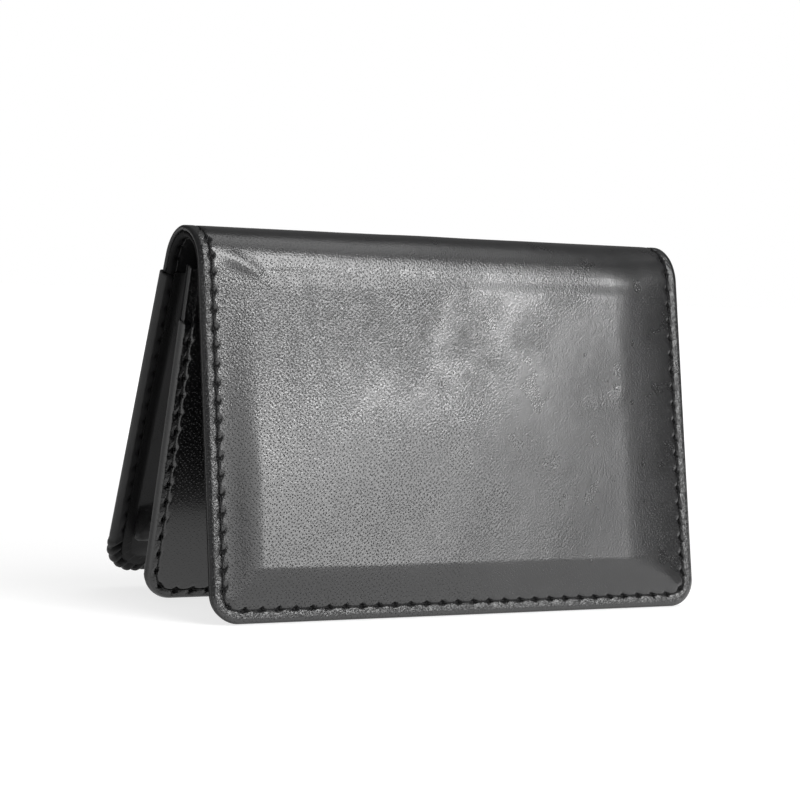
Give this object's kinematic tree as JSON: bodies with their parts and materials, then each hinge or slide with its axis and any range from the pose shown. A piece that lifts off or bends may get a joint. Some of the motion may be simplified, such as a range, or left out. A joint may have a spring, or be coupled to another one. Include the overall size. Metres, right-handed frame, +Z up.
{
  "type": "business card wallet",
  "caption": "Folding leather wallet for business cards, standing open like a tent: padded front flap, page with slip pocket, gusseted card pocket and outer slip pocket.",
  "frame": {"origin": "middle of the footprint's bounding box, on the surface that the lower edges stand on", "axes": "+X along the spine, -Y the side of the padded front leaf, +Z up as the wallet stands open"},
  "size_m": [0.108, 0.0537, 0.0735],
  "materials": {
    "cover_hide": "polished black calf",
    "lining_hide": "semi-matt black calf",
    "gusset_hide": "thin soft black calf",
    "board": "bonded leather board",
    "padding": "dense felt",
    "thread": "waxed"
  },
  "bodies": {
    "spine": {"spine_cover": "cover_hide", "spine_backing": "board", "spine_lining": "lining_hide", "spine_thread_left": "thread", "spine_thread_right": "thread"},
    "front_leaf": {"front_cover": "cover_hide", "front_pad": "padding", "front_board": "board", "front_lining": "lining_hide", "front_slip_pocket": "lining_hide", "front_thread": "thread"},
    "back_leaf": {"back_cover": "cover_hide", "back_board": "board", "back_lining": "lining_hide", "back_slip_pocket": "cover_hide", "back_thread": "thread"},
    "page": {"page_front_panel": "cover_hide", "page_board": "board", "page_rear_panel": "lining_hide", "page_slip_pocket": "cover_hide", "page_thread": "thread", "gusset": "gusset_hide"}
  },
  "joints": [
    {"name": "front_fold", "type": "hinge", "parent": "spine", "child": "front_leaf", "pos_m": [0, -0.01377, 0.06996], "axis": [1, 0, 0], "range_deg": [-80, 9.6]},
    {"name": "back_fold", "type": "hinge", "parent": "spine", "child": "back_leaf", "pos_m": [0, -0.00059, 0.06996], "axis": [-1, 0, 0], "range_deg": [-68, 11.5]},
    {"name": "pocket_swell", "type": "hinge", "parent": "back_leaf", "child": "page", "pos_m": [0, -0.01099, 0.07128], "axis": [1, 0, 0], "range_deg": [0, 7.2], "deforming": ["gusset"]}
  ]
}
